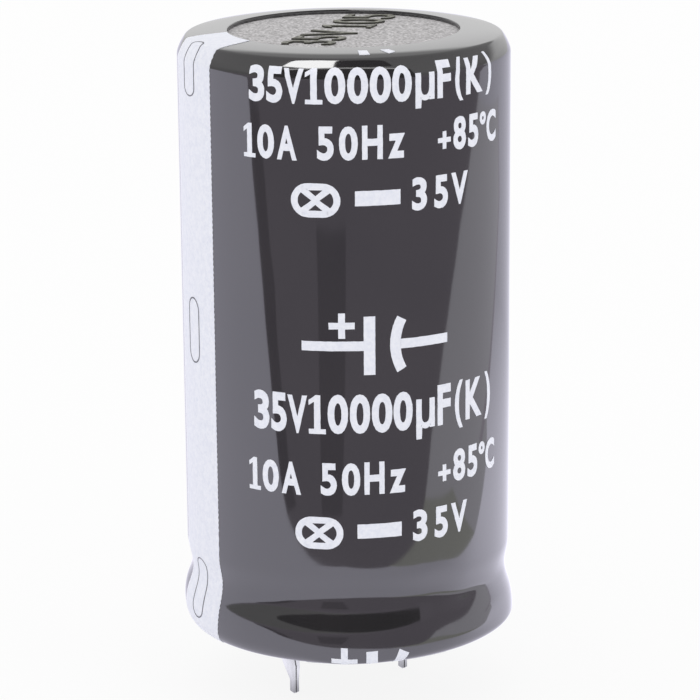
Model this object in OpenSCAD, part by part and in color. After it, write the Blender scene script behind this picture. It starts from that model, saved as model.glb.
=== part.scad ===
// Snap-in aluminium electrolytic capacitor, standing on its two terminals.
// +Z runs up the can's axis, the seat on the circuit board is at z = 0, the terminals lie
// along X with the negative one at -X, and every size is in millimetres.

/* [Sleeved case] */
// Outer diameter of the sleeved barrel
case_d = 25; // [22:0.5:30]
// Height from the seat on the board to the sleeve's top lip
case_h = 46; // [36:0.5:60]
// Thickness of the shrunk sleeve on the barrel and under the rim
sleeve_t = 0.2; // [0.15:0.01:0.3]
// Thickness of the sleeve's gathered lip around the top opening
lip_t = 0.33; // [0.25:0.01:0.5]
// Width of the sleeve's top ring, from the barrel to its opening
ring_w = 3.8; // [3:0.1:5.5]
// Fall of the sleeve's top ring from the lip to its outer edge
ring_fall = 0.24; // [0.1:0.02:0.4]
// Width of the sleeve's flap under the rim, from the barrel to its opening
flap_w = 1.9; // [1.6:0.1:2.7]
// Depth of the waist that the sleeve shows over the bead
waist_depth = 0.32; // [0.1:0.01:0.5]

/* [Can] */
// Wall of the drawn aluminium can
can_wall = 0.35; // [0.25:0.01:0.5]
// Thickness of the can's closed end
can_end = 0.6; // [0.4:0.05:1]
// Outer radius of the can's top corner
corner_r = 1; // [0.8:0.1:1.6]
// Inner radius of the can's top corner
corner_inner_r = 0.4; // [0.2:0.05:0.6]
// Depth of the bead that holds the deck
bead_depth = 0.8; // [0.6:0.05:1]
// Height of the bead's upper edge over the seat
bead_top = 7.2; // [6.6:0.1:7.8]
// Height of the bead's deepest line over the seat
bead_z = 4.8; // [4.5:0.1:5.2]
// Height at which the can has opened out to its rolled rim
bead_base = 1.2; // [1:0.1:1.5]
// How far the rolled rim stands out past the barrel
rim_bulge = 0.28; // [0.1:0.02:0.4]
// Outer radius of the rolled rim
curl_r = 0.65; // [0.55:0.05:0.75]
// Depth of the pressure relief score in the closed end
score_depth = 0.2; // [0.1:0.05:0.3]
// Width of the pressure relief score
score_w = 0.35; // [0.2:0.05:0.6]
// Length of one arm of the pressure relief score
score_arm = 7; // [5:0.5:9]
// Number of arms of the pressure relief score
score_arms = 3; // [3:1:6]

/* [Top plate] */
// Thickness of the insulating plate on the can's closed end
plate_t = 0.35; // [0.25:0.05:0.6]
// Distance from the can's outer face in to the plate's edge
plate_inset = 0.8; // [0.7:0.05:1.3]
// Chamfer around the plate's upper edge
plate_chamfer = 0.12; // [0.05:0.01:0.2]

/* [Deck] */
// Height of the rubber's outer face over the seat
deck_z = 1.25; // [1.15:0.05:1.35]
// Thickness of the rubber layer
rubber_t = 0.75; // [0.6:0.05:0.8]
// Thickness of the hard board layer
board_t = 1; // [0.8:0.05:1.1]
// Clearance of the deck's upper edge in the can's flare
deck_gap = 0.05; // [0.04:0.01:0.2]

/* [Terminals] */
// Distance between the two terminal blades
terminal_pitch = 10; // [9:0.5:10]
// Reach of the blades below the seat
terminal_reach = 6.1; // [4:0.1:7]
// Thickness of a blade, which is the strip folded in two
blade_t = 0.8; // [0.6:0.05:1]
// Width of a blade
blade_w = 1.5; // [1.2:0.1:1.8]
// Thickness of a blade at its tip
tip_t = 0.5; // [0.3:0.05:0.55]
// Width of a blade at its tip
tip_w = 0.54; // [0.4:0.02:0.8]
// Length of the blade's narrow end
tip_len = 1.1; // [0.6:0.1:1.4]
// Length over which the blade narrows
taper_len = 1.4; // [0.8:0.1:1.6]
// Radius that is taken off the tip's corners
tip_round = 0.15; // [0.05:0.05:0.2]
// How far the snap bend stands out from the blade's line
snap = 0.4; // [0.2:0.05:0.6]
// Distance from the blade's full width up to the snap bend
snap_rise = 0.7; // [0.4:0.1:1]
// Distance from the snap bend up to the blade's straight part
snap_len = 1.6; // [1:0.1:2]
// Gap between the two legs of the folded strip
fold_gap = 0.1; // [0.06:0.02:0.16]
// Distance from the snap bend down to the end of that gap
fold_stop = 0.1; // [0.05:0.05:0.3]
// Thickness of the terminal's foot
foot_t = 0.4; // [0.3:0.05:0.5]
// Radius of the terminal's round foot
foot_r = 2.1; // [1.9:0.05:2.3]
// Clearance between a blade and its rivet's outer head
rivet_gap = 0.1; // [0.05:0.05:0.4]

/* [Rivets] */
// Radius of a rivet's shank
shank_r = 0.9; // [0.7:0.05:1.1]
// Radius of a rivet's outer head
head_r = 1.6; // [1.4:0.05:1.8]
// Thickness of a rivet's heads
head_t = 0.5; // [0.3:0.05:0.6]
// Chamfer of a rivet's heads
head_chamfer = 0.15; // [0.05:0.05:0.25]
// Clearance of the rivet's shank in its holes
shank_gap = 0.05; // [0.02:0.01:0.1]
// Radius of the inner washer
washer_r = 1.9; // [1.7:0.05:2.1]
// Thickness of the inner washer
washer_t = 0.4; // [0.3:0.05:0.6]

/* [Winding] */
// Clearance of the wound element in the can
winding_gap = 0.65; // [0.3:0.05:2]
// Height of the winding's lower end over the bead's upper edge
winding_lift = 0.5; // [0.2:0.1:2]
// Diameter of the mandrel hole
mandrel_d = 2.6; // [2:0.2:4]
// Thickness of the closing tape around the winding
tape_t = 0.08; // [0.05:0.01:0.12]
// Distance of the tape from each end of the winding
tape_margin = 1.5; // [0.5:0.5:4]
// Thickness of the insulating disc at the can's closed end
spacer_t = 0.3; // [0.2:0.05:0.5]
// Clearance of that disc inside the can's inner corner
spacer_gap = 0.1; // [0.05:0.05:1]
// Thickness of a foil tab
tab_t = 0.25; // [0.15:0.05:0.3]
// Width of a foil tab
tab_w = 3; // [2.6:0.1:3.4]
// Inner radius of a tab's bend
tab_bend_r = 0.5; // [0.3:0.05:0.6]
// Clearance between a rivet's inner head and a tab's bend
tab_gap = 0.05; // [0.05:0.05:0.3]

/* [Print] */
// Thickness of the printed ink
ink_t = 0.03; // [0.02:0.005:0.05]
// Direction of the polarity stripe's centre line, from +X
stripe_az = 172; // [150:1:210]
// Angle that the polarity stripe covers
stripe_span = 31.5; // [20:0.5:45]
// Direction of the minus marks' centre line, from +X
mark_az = 173.5; // [160:0.5:180]
// Width of a minus mark's outline
mark_w = 1.94; // [1.4:0.1:2.6]
// Length of a minus mark's outline
mark_len = 5.1; // [3:0.1:8]
// Line width of a minus mark's outline
mark_line = 0.09; // [0.06:0.01:0.15]
// Height of the lowest minus mark's centre
mark_z = 3.5; // [3:0.1:8]
// Distance from one minus mark to the next
mark_pitch = 20.6; // [16:0.1:21]
// Direction of the rating print's centre line, from +X
print_az = -109; // [-140:1:-80]
// Height of the lower row of polarity signs
sign_z = 10.35; // [9.5:0.05:12]
// Distance between the two prints of the rating
print_pitch = 25.15; // [20:0.05:26]
// Gap between the crossed oval sign and the minus sign
sign_gap = 0.7; // [0.4:0.05:2]
// Width of the crossed oval sign
oval_w = 3.45; // [2.8:0.05:4]
// Height of the crossed oval sign
oval_h = 2.5; // [2:0.05:2.7]
// Angle of the oval's two crossed strokes from the horizontal
cross_angle = 40; // [30:1:50]
// Angle from the minus sign to the print's centre line
dash_turn = 3; // [-2:0.5:4]
// Length of the minus sign
dash_len = 3.45; // [2:0.05:4]
// Stroke of the polarity signs
stroke = 0.45; // [0.3:0.05:0.6]
// Height of the minus sign
dash_w = 1.1; // [0.6:0.05:1.4]

/* [Hidden] */
$fn = 96;

// The can's radii and heights, all inside the sleeve
can_r = case_d / 2 - sleeve_t;
rim_r = can_r + rim_bulge;
opening_r = case_d / 2 - ring_w;
flap_r = case_d / 2 - flap_w;
plate_r = can_r - plate_inset;
plate_top = case_h - lip_t;
can_top = plate_top - plate_t;
corner_c = [can_r - corner_r, can_top - corner_r];
curl_c = [rim_r - curl_r, sleeve_t + curl_r];
can_inner_r = can_r - can_wall;
can_floor = can_top - can_end;

// Angles, from the horizontal, at which the sleeve leaves the corner and the ink ends below
film_angle = 50;
ink_end_angle = -70;

// Angle of one step along the corner and the rolled rim, and steps along each side of the waist
corner_step = 5;
curl_step = 10;
neck_steps = 12;

// Heights and radii in the deck, the rivets and the tabs
deck_top = deck_z + rubber_t + board_t;
deck_r = flare_r(deck_top) - can_wall - deck_gap;
foot_z = deck_z - foot_t;
tab_z = deck_top + washer_t;
rivet_top = tab_z + 2 * tab_t;
blade_x = terminal_pitch / 2;
rivet_x = blade_x + blade_t / 2 + rivet_gap + head_r;
hole_r = shank_r + shank_gap;
tab_reach = head_r + tab_gap + tab_bend_r + tab_t;

// Heights on the blade, from its tip upwards
tip_z = -terminal_reach;
narrow_z = tip_z + tip_len;
wide_z = narrow_z + taper_len;
snap_z = wide_z + snap_rise;
fold_z = snap_z - fold_stop;
straight_z = snap_z + snap_len;

// The winding stands between the tabs and the end disc
winding_z = bead_top + winding_lift;
winding_top = can_floor - spacer_t;
winding_r = can_inner_r - winding_gap;

// The sleeve's top ring, with the width and the fall of its rounded lip
lip_round = 0.12;
lip_drop = 0.025;
ring_r = plate_r + sleeve_t;
ring_z = case_h - ring_fall;

// Directions of the two polarity signs
dash_az = print_az - dash_turn;
oval_az = dash_az - (dash_len / 2 + sign_gap + oval_w / 2) / (case_d / 2) * 180 / PI;

// Colours
sleeve_colour = "#2b282b";
white_ink = "#eef0fb";
grey_ink = "#9a9aa2";
plate_colour = "#a6a6ab";
aluminium_colour = "#c9ccd0";
rubber_colour = "#26262a";
board_colour = "#6b4a2f";
tin_colour = "#cfd0cc";
paper_colour = "#d8cfb4";
tape_colour = "#c7b36a";
disc_colour = "#e3ddc9";

// Points of an arc in the profile plane, from angle a0 down to a1
function arc(c, r, a0, a1, turn) =
    [for (a = [a0 : -turn : a1]) c + r * [cos(a), sin(a)]];

// Points of a smooth step from one radius and height to the next, without its first point
function step(r0, z0, r1, z1, n) =
    [for (i = [1 : n]) let (u = i / n) [r0 + (r1 - r0) * (1 - cos(180 * u)) / 2, z0 + (z1 - z0) * u]];

// Outer radius of the can at a height between its rolled rim and the bead's deepest line
function flare_r(z) =
    rim_r + (can_r - bead_depth - rim_r) * (1 - cos(180 * (z - bead_base) / (bead_z - bead_base))) / 2;

// Points in the opposite order
function reversed(p) = [for (i = [len(p) - 1 : -1 : 0]) p[i]];

// The barrel's foot, from the bead's upper edge through its waist to the rolled rim
function neck(depth, t) = concat(
    [[can_r + t, bead_top]],
    step(can_r + t, bead_top, can_r - depth + t, bead_z, neck_steps),
    step(can_r - depth + t, bead_z, rim_r + t, bead_base, neck_steps));

// The can's wall at a distance t out from its outer face, from the corner to the rim's tip
function can_line(t, r) = concat(
    arc([can_r + t - r, can_top + (t < 0 ? -can_end : t) - r], r, 90, 0, corner_step),
    neck(bead_depth, t),
    arc(curl_c, curl_r + t, 0, -180, curl_step),
    [[curl_c[0] - curl_r - t, deck_z]]);

// The sleeve's outer face at a further distance t, from the top ring to an angle of the rim
function sleeve_line(t, end_angle) = concat(
    [[ring_r + t / 2, ring_z + t]],
    arc(corner_c, corner_r + sleeve_t + t, film_angle, 0, corner_step),
    neck(waist_depth, sleeve_t + t),
    arc(curl_c, curl_r + sleeve_t + t, 0, end_angle, curl_step));

// The sleeve's inner face, from the plate's edge to the rim's lowest line
function sleeve_back() = concat(
    [[opening_r, plate_top], [plate_r - plate_chamfer, plate_top],
     [plate_r, plate_top - plate_chamfer]],
    arc(corner_c, corner_r, film_angle, 0, corner_step),
    neck(waist_depth, 0),
    arc(curl_c, curl_r, 0, -90, curl_step),
    [[flap_r, sleeve_t]]);

// Heat-shrunk sleeve with its top ring, its waist and its flap under the rolled rim
module sleeve() {
    top_lip = [[opening_r, case_h - lip_round], [opening_r + lip_round, case_h - lip_drop],
               [opening_r + 2 * lip_round, case_h]];
    base_edge = [[flap_r, 0]];
    color(sleeve_colour)
        rotate_extrude()
            polygon(concat(top_lip, sleeve_line(0, -90), base_edge, reversed(sleeve_back())));
}

// A closed band of ink over the sleeve, from the lip to the rolled rim, level0 to level1 proud
module ink_outline(level0, level1) {
    lip_r = opening_r + 2 * lip_round;
    polygon(concat(
        [[lip_r, case_h + level0], [lip_r, case_h + level1]],
        sleeve_line(level1, ink_end_angle),
        reversed(sleeve_line(level0, ink_end_angle))));
}

// White polarity stripe, printed from the top lip down to the rolled rim
module polarity_stripe() {
    color(white_ink)
        rotate([0, 0, stripe_az - stripe_span / 2])
            rotate_extrude(angle = stripe_span)
                ink_outline(0, ink_t);
}

// A flat shape, X around the case and Y up, pushed out radially at a direction and a height
module radially(az, z) {
    rotate([0, 0, az])
        translate([0, 0, z])
            rotate([90, 0, 90])
                linear_extrude(height = case_d)
                    children();
}

// A slot shape of a given width and length with round ends
module slot(w, l) {
    square([w, l - w], center = true);
    for (side = [-1, 1])
        translate([0, side * (l - w) / 2])
            circle(d = w);
}

// Thin outlines of long minus marks, one above the other on the stripe
module minus_marks() {
    color(grey_ink)
        intersection() {
            rotate_extrude()
                ink_outline(ink_t, 2 * ink_t);
            union() {
                for (z = [mark_z : mark_pitch : case_h])
                    radially(mark_az, z)
                        difference() {
                            slot(mark_w, mark_len);
                            slot(mark_w - 2 * mark_line, mark_len - 2 * mark_line);
                        }
            }
        }
}

// Crossed oval sign and minus sign, printed at both ratings
module polarity_signs() {
    color(white_ink)
        intersection() {
            difference() {
                cylinder(h = case_h, r = case_d / 2 + ink_t);
                cylinder(h = case_h, r = case_d / 2);
            }
            union() {
                for (z = [sign_z : print_pitch : corner_c[1] - oval_h / 2]) {
                    radially(oval_az, z)
                        crossed_oval();
                    radially(dash_az, z)
                        square([dash_len, dash_w], center = true);
                }
            }
        }
}

// An oval ring with two crossed strokes inside
module crossed_oval() {
    difference() {
        oval(0);
        oval(stroke);
    }
    intersection() {
        oval(stroke / 2);
        for (side = [-1, 1])
            rotate(side * cross_angle)
                square([oval_w, stroke], center = true);
    }
}

// The sign's filled oval, inset from its edge
module oval(inset) {
    rotate(90)
        slot(oval_h - 2 * inset, oval_w - 2 * inset);
}

// Insulating plate on the can's closed end, which shows through the sleeve's opening
module top_plate() {
    color(plate_colour)
        rotate_extrude()
            polygon([
                [0, can_top], [plate_r, can_top], [plate_r, plate_top - plate_chamfer],
                [plate_r - plate_chamfer, plate_top], [0, plate_top]]);
}

// Drawn can with its corner, bead and rolled rim, and the relief score in its closed end
module can() {
    color(aluminium_colour)
        difference() {
            rotate_extrude()
                polygon(concat(
                    [[0, can_top]], can_line(0, corner_r),
                    reversed(can_line(-can_wall, corner_inner_r)), [[0, can_floor]]));
            for (i = [1 : score_arms])
                rotate([0, 0, i * 360 / score_arms])
                    translate([0, -score_w / 2, can_top - score_depth])
                        cube([score_arm, score_w, score_depth * 2]);
        }
}

// One layer of the deck with its two rivet holes
module deck_layer(z, t) {
    difference() {
        translate([0, 0, z])
            cylinder(h = t, r = deck_r);
        for (side = [-1, 1])
            translate([side * rivet_x, 0, z - t])
                cylinder(h = 3 * t, r = hole_r);
    }
}

// Soft outer layer of the deck, into which the rolled rim bites
module deck_rubber() {
    color(rubber_colour)
        deck_layer(deck_z, rubber_t);
}

// Hard inner layer of the deck
module deck_board() {
    color(board_colour)
        deck_layer(deck_z + rubber_t, board_t);
}

// The gap between the two folded legs, along the blade's own line from the tip upwards
module fold_slot() {
    fold_x = snap * (fold_z - narrow_z) / (snap_z - narrow_z);
    half = fold_gap / 2;
    polygon([
        [-half, tip_z - tip_len], [half, tip_z - tip_len], [half, narrow_z],
        [fold_x + half, fold_z], [fold_x - half, fold_z], [-half, narrow_z]]);
}

// Side view of a blade, X out from its line and Y up, with the snap bend
module blade_side() {
    difference() {
        blade_outline();
        fold_slot();
    }
}

// Outline of a blade's side view
module blade_outline() {
    polygon([
        [-blade_t / 2, foot_z + foot_t], [-blade_t / 2, straight_z],
        [snap - blade_t / 2, snap_z], [-tip_t / 2, narrow_z],
        [-tip_t / 2, tip_z + tip_round], [-tip_t / 2 + tip_round, tip_z],
        [tip_t / 2 - tip_round, tip_z], [tip_t / 2, tip_z + tip_round],
        [tip_t / 2, narrow_z], [snap + blade_t / 2, snap_z],
        [blade_t / 2, straight_z], [blade_t / 2, foot_z + foot_t]]);
}

// Front view of a blade, X across its width and Y up
module blade_front() {
    tip_half = tip_w / 2;
    polygon([
        [-blade_w / 2, foot_z + foot_t], [-blade_w / 2, wide_z], [-tip_half, narrow_z],
        [-tip_half, tip_z + tip_round], [-tip_half + tip_round, tip_z],
        [tip_half - tip_round, tip_z], [tip_half, tip_z + tip_round],
        [tip_half, narrow_z], [blade_w / 2, wide_z], [blade_w / 2, foot_z + foot_t]]);
}

// Snap-in terminal with its riveted foot, its blade at +X and its legs folded together
module terminal() {
    difference() {
        union() {
            translate([blade_x, 0, 0])
                intersection() {
                    translate([0, case_d / 2, 0])
                        rotate([90, 0, 0])
                            linear_extrude(height = case_d)
                                blade_side();
                    translate([-case_d / 2, 0, 0])
                        rotate([90, 0, 90])
                            linear_extrude(height = case_d)
                                blade_front();
                }
            translate([rivet_x, 0, foot_z])
                cylinder(h = foot_t, r = foot_r);
            translate([blade_x - blade_t / 2, -blade_w / 2, foot_z])
                cube([rivet_x - blade_x, blade_w, foot_t]);
        }
        translate([rivet_x, 0, foot_z - foot_t])
            cylinder(h = 3 * foot_t, r = hole_r);
    }
}

// Rivet at +X with a chamfered outer head under the foot and an inner head over the tabs
module rivet() {
    translate([rivet_x, 0, 0]) {
        translate([0, 0, foot_z - head_t])
            cylinder(h = head_chamfer, r1 = head_r - head_chamfer, r2 = head_r);
        translate([0, 0, foot_z - head_t + head_chamfer])
            cylinder(h = head_t - head_chamfer, r = head_r);
        translate([0, 0, foot_z])
            cylinder(h = rivet_top - foot_z, r = shank_r);
        translate([0, 0, rivet_top])
            cylinder(h = head_t, r1 = head_r, r2 = head_r - head_chamfer);
    }
}

// Inner washer at +X, between the deck and the tabs
module washer() {
    translate([rivet_x, 0, deck_top])
        difference() {
            cylinder(h = washer_t, r = washer_r);
            translate([0, 0, -washer_t])
                cylinder(h = 3 * washer_t, r = hole_r);
        }
}

// Side view of a tab: a foot under the rivet's head and an upright into the winding, joined
// by a round bend, with X along the foot and the upright's far face at X = 0
module tab_side(foot_len) {
    square_z = tab_t + tab_bend_r;
    translate([-foot_len, 0])
        square([foot_len - square_z, tab_t]);
    translate([-tab_t, square_z])
        square([tab_t, winding_z - square_z]);
    translate([-square_z, square_z])
        intersection() {
            difference() {
                circle(r = square_z);
                circle(r = tab_bend_r);
            }
            translate([0, -square_z])
                square([square_z, square_z]);
        }
}

// Foil tab at +X: level counts the tabs under it, and side is 1 where its upright is outward
// of the rivet, or -1
module tab(level, side) {
    z = tab_z + level * tab_t;
    difference() {
        translate([rivet_x + side * tab_reach, 0, z])
            facing(side)
                translate([0, tab_w / 2, 0])
                    rotate([90, 0, 0])
                        linear_extrude(height = tab_w)
                            intersection() {
                                tab_side(tab_reach + head_r);
                                translate([-case_d, 0])
                                    square([2 * case_d, winding_z - z]);
                            }
        translate([rivet_x, 0, deck_top])
            cylinder(h = winding_z - deck_top, r = hole_r);
    }
}

// Keeps its children for side 1, and mirrors them across X for side -1
module facing(side) {
    mirror([side < 0 ? 1 : 0, 0, 0])
        children();
}

// Wound element of foils and paper with its mandrel hole
module winding() {
    color(paper_colour)
        translate([0, 0, winding_z])
            linear_extrude(height = winding_top - winding_z)
                difference() {
                    circle(r = winding_r);
                    circle(d = mandrel_d);
                }
}

// Tape that closes the winding
module winding_tape() {
    color(tape_colour)
        translate([0, 0, winding_z + tape_margin])
            linear_extrude(height = winding_top - winding_z - 2 * tape_margin)
                difference() {
                    circle(r = winding_r + tape_t);
                    circle(r = winding_r);
                }
}

// Insulating disc between the winding and the can's closed end
module end_disc() {
    color(disc_colour)
        translate([0, 0, winding_top])
            cylinder(h = spacer_t, r = can_inner_r - corner_inner_r - spacer_gap);
}

// The negative side is the positive side turned half a turn about the axis
module negative() {
    rotate([0, 0, 180])
        children();
}

module terminal_negative() { color(tin_colour) negative() terminal(); }
module terminal_positive() { color(tin_colour) terminal(); }
module rivet_negative() { color(aluminium_colour) negative() rivet(); }
module rivet_positive() { color(aluminium_colour) rivet(); }
module washer_negative() { color(aluminium_colour) negative() washer(); }
module washer_positive() { color(aluminium_colour) washer(); }
module cathode_tab_inner() { color(aluminium_colour) negative() tab(0, -1); }
module cathode_tab_outer() { color(aluminium_colour) negative() tab(1, 1); }
module anode_tab_inner() { color(aluminium_colour) tab(0, -1); }
module anode_tab_outer() { color(aluminium_colour) tab(1, 1); }

sleeve();
polarity_stripe();
minus_marks();
polarity_signs();
top_plate();
can();
deck_rubber();
deck_board();
terminal_negative();
terminal_positive();
rivet_negative();
rivet_positive();
washer_negative();
washer_positive();
cathode_tab_inner();
cathode_tab_outer();
anode_tab_inner();
anode_tab_outer();
winding();
winding_tape();
end_disc();
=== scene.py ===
import math
import random

import bmesh
import bpy
from mathutils import Matrix, Vector, noise


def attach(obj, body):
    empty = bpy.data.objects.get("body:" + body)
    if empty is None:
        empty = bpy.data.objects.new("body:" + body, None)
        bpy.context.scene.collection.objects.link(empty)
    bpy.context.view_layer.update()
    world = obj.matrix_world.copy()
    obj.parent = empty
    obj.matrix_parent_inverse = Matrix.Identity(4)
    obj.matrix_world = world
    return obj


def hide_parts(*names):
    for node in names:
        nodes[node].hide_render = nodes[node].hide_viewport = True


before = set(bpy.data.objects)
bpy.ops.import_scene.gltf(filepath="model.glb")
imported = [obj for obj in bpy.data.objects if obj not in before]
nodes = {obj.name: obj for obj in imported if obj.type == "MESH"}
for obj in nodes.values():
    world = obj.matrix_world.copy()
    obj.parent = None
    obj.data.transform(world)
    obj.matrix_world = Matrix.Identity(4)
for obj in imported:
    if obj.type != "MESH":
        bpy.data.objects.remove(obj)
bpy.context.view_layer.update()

# The stripe's edges and the noise that moves the print's edges are the same in each run
SEED = 7
noise.seed_set(SEED)

# Sizes of the case, in metres, as the frame's solids have them
MM = 0.001
CASE_R = 12.5 * MM
CASE_H = 46 * MM
SLEEVE_T = 0.2 * MM
LIP_T = 0.33 * MM
OPENING_R = 8.7 * MM
PLATE_TOP = CASE_H - LIP_T
PLATE_T = 0.35 * MM
PLATE_R = 11.5 * MM
CORNER_R = 1 * MM
CAN_R = CASE_R - SLEEVE_T
CORNER_C = (CAN_R - CORNER_R, PLATE_TOP - PLATE_T - CORNER_R)
FILM_ANGLE = 50
BEAD_TOP = 7.2 * MM
BEAD_Z = 4.8 * MM
BEAD_BASE = 1.2 * MM
WAIST_DEPTH = 0.32 * MM
RIM_R = CAN_R + 0.28 * MM
CURL_R = 0.65 * MM
CURL_C = (RIM_R - CURL_R, SLEEVE_T + CURL_R)
BASE_OPENING_R = 10.6 * MM
INK_T = 0.03 * MM
TIP_Z = -6.1 * MM
# Least difference in length that counts, in metres
TINY = 1e-9

# The photograph's camera: distance from the axis, height, and angles, with +Y away from it
CAMERA_DISTANCE = 226.2 * MM
CAMERA_HEIGHT = 82.8 * MM
CAMERA_YAW = math.radians(-0.071)
CAMERA_PITCH = math.radians(15.278)
CAMERA_ROLL = math.radians(0.475)
CAMERA_FOCAL_PX = 3048.4
FRAME_PX = 700
SENSOR = 36
# Turn of the object's +X from the picture's right hand
TURN = math.radians(-31)

# Foot of the sleeve, where the film shrank over the bead and the rim. Each row has a direction from
# the camera (0 in front, + to the right, in degrees), the middle and half the height of the flank
# between waist and rim, the waist's depth and the rim's bulge, in millimetres, and how straight the
# flank is, from 0 to 1
FOOT = [
    (-90, 3.1, 1.4, 0.33, 0.3, 0),
    (-51, 2.95, 1.85, 0.27, 0.28, 0),
    (-28, 3.1, 1.95, 0.31, 0.31, 0),
    (0, 2.83, 2.55, 0.33, 0.3, 0),
    (30, 2.85, 2.2, 0.33, 0.32, 0.8),
    (48, 2.7, 1.85, 0.33, 0.4, 1),
    (72, 2.45, 1.8, 0.29, 0.42, 0.5),
    (90, 2.25, 1.75, 0.25, 0.36, 0),
    (180, 2.9, 1.8, 0.3, 0.28, 0),
]
# Direction of the camera from +X in degrees, and how far over the waist the foot starts, in millimetres
FRONT_AZ = -121
WAIST_RISE = 2.15
# Shares of half a flank: how far its steepest place lies over its middle, and how much of it is even
# where it is straight
FLANK_SKEW = 0.12
FLANK_EVEN = 0.75

# Heights of the plain tube that the shrunk foot's top, waist and rim are made from, and the radius of
# the curl under the rim
PLAIN_HOLD = 9 * MM
PLAIN_TOP = 8 * MM
PLAIN_WAIST = 5.2 * MM
PLAIN_RIM = 1.1 * MM
PLAIN_CURL = 0.85 * MM

# Steps of the sleeve's mesh: round it, down the barrel (the first one short), down the foot to each
# height, and round the curl
SLEEVE_SEGMENTS = 288
BARREL_STEPS = 12
FIRST_STEP = 0.1
FOOT_STEPS = [(PLAIN_TOP, 4), (PLAIN_WAIST, 14), (PLAIN_RIM, 24)]
CURL_STEPS = 16

# Rounding of the opening's edge, and the outline from the flat ring down to the barrel: where it starts,
# then each arc's radius, the direction of its normal above the horizon at both ends, and its steps
LIP_ROUND = 0.1 * MM
SHOULDER_START = (10.4 * MM, 45.863 * MM)
SHOULDER_ARCS = [
    (13.5 * MM, 85.4, 80, 8),
    (0.45 * MM, 80, 36, 8),
    (3.735 * MM, 36, 20, 12),
    (1.044 * MM, 20, 0, 12),
]

# White stripe: the direction of its middle from +X and its width in degrees, the columns and the row
# height of its mesh, how far it stops from the film's base and top, its right edge's teeth (reach in
# degrees, least and most share of that, and rows) and its left edge's ripple in degrees
STRIPE_AZ = 173.6
STRIPE_SPAN = 28.3
STRIPE_COLUMNS = 40
STRIPE_ROW = 0.1 * MM
STRIPE_START = 1.35 * MM
STRIPE_END = LIP_T + 0.08 * MM
TOOTH = 0.22
TOOTH_SHARES = (0.5, 1.1)
TOOTH_ROWS = 2
RIPPLE = 0.12

# Minus marks on the stripe: their direction in degrees, then in millimetres each one's middle height and
# length as printed, their width and their line's
MARK_AZ = 173.5
MARKS = [(4.03, 5.83), (24.1, 5.1), (44.82, 5.1)]
MARK_W = 1.94
MARK_LINE = 0.11

# Print: the direction of its middle from +X in degrees, then in millimetres how far apart it repeats up
# the sleeve, the cells that it is cut into, how far it stops from the film's base and top, and how far
# its edges creep, and how finely
PRINT_AZ = -109
PRINT_PITCH = 25.15
PRINT_CELL = 0.3
PRINT_MARGINS = (0.9, 0.45)
INK_CREEP = 0.02
CREEP_SCALE = 5
# How much bolder than the font the letters are, and the micro sign's share of that, as it closes up
LETTER_WEIGHT = 0.035
MICRO_SHARE = 0.4
# Parts of the figure one as shares of its height: half its stem, its foot, and its flag's top, base and root
ONE_STEM = 0.045
ONE_FOOT = 0.09
ONE_FLAG = (0.13, 0.26, 0.17)
# Lines of the rating: name, and each letter with its centre, height on the sleeve, width and height
LINES = [
    ("value", [("3", -9.18, 19.5, 1.3, 3), ("5", -7.75, 19.5, 1.25, 3), ("V", -6.3, 19.45, 1.5, 2.9),
               ("1", -4.8, 19.5, 1.27, 2.95), ("0", -3.28, 19.55, 1.5, 3), ("0", -1.66, 19.55, 1.5, 3),
               ("0", -0.02, 19.55, 1.55, 3), ("0", 1.58, 19.55, 1.5, 3), ("\u00b5", 3.4, 18.78, 1.55, 3.05),
               ("F", 5.03, 19.6, 1.2, 3.1), ("(", 6.44, 19.35, 0.8, 3.7), ("K", 8.1, 19.5, 1.9, 3.05),
               (")", 9.85, 19.35, 0.8, 3.7)]),
    ("limits", [("1", -9.85, 14.48, 1.0, 2.5), ("0", -8.5, 14.48, 1.35, 2.5), ("A", -6.85, 14.5, 1.5, 2.5),
                ("5", -4.0, 14.55, 1.2, 2.5), ("0", -2.35, 14.55, 1.35, 2.5), ("H", -0.62, 14.6, 1.5, 2.5),
                ("z", 1.15, 14.25, 1.25, 1.8), ("+", 5.05, 14.3, 1.15, 1.3), ("8", 6.5, 14.66, 1.25, 2.5),
                ("5", 7.95, 14.64, 1.15, 2.5), ("\u00b0", 9.1, 15.35, 0.8, 1.0),
                ("C", 10.3, 14.6, 1.4, 2.4)]),
    ("level", [("3", 2.93, 10.58, 1.2, 2.45), ("5", 4.76, 10.54, 1.2, 2.45), ("V", 6.5, 10.57, 1.65, 2.4)]),
]
# Places of the two signs under the rating, and of the symbol between two ratings
OVAL_X = -4.76
OVAL_Z = 10.37
DASH_X = -0.24
DASH_Z = 10.51
DASH_SIZE = (3.34, 1.1)
SYMBOL_X = -0.3
SYMBOL_Z = 24.7
# Heights of the print as printed, and as they lie on the film that drew together at the shoulder
DRAW = [(-20, -20), (40.9, 40.9), (43.15, 42.5), (46.15, 45.15), (60, 59)]

# Raised numerals on the plate, in millimetres: each group's text, width and middle, then their height,
# relief and place, and their turn and slant in degrees
NUMERALS = [("35V", 6.6, -3.9), ("1", 1.5, 1.5), ("05", 4.4, 5.0)]
NUMERAL_H = 3.8
NUMERAL_RELIEF = 0.13
NUMERAL_PLACE = (0.3, 0.9)
NUMERAL_TURN = 38
NUMERAL_SLANT = 14


# Small helpers for shapes

def arc(centre, radius, start, end, steps):
    """Points on a circle's arc between two angles in degrees."""
    points = []
    for i in range(steps + 1):
        angle = math.radians(start + (end - start) * i / steps)
        points.append((centre[0] + radius * math.cos(angle), centre[1] + radius * math.sin(angle)))
    return points


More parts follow.
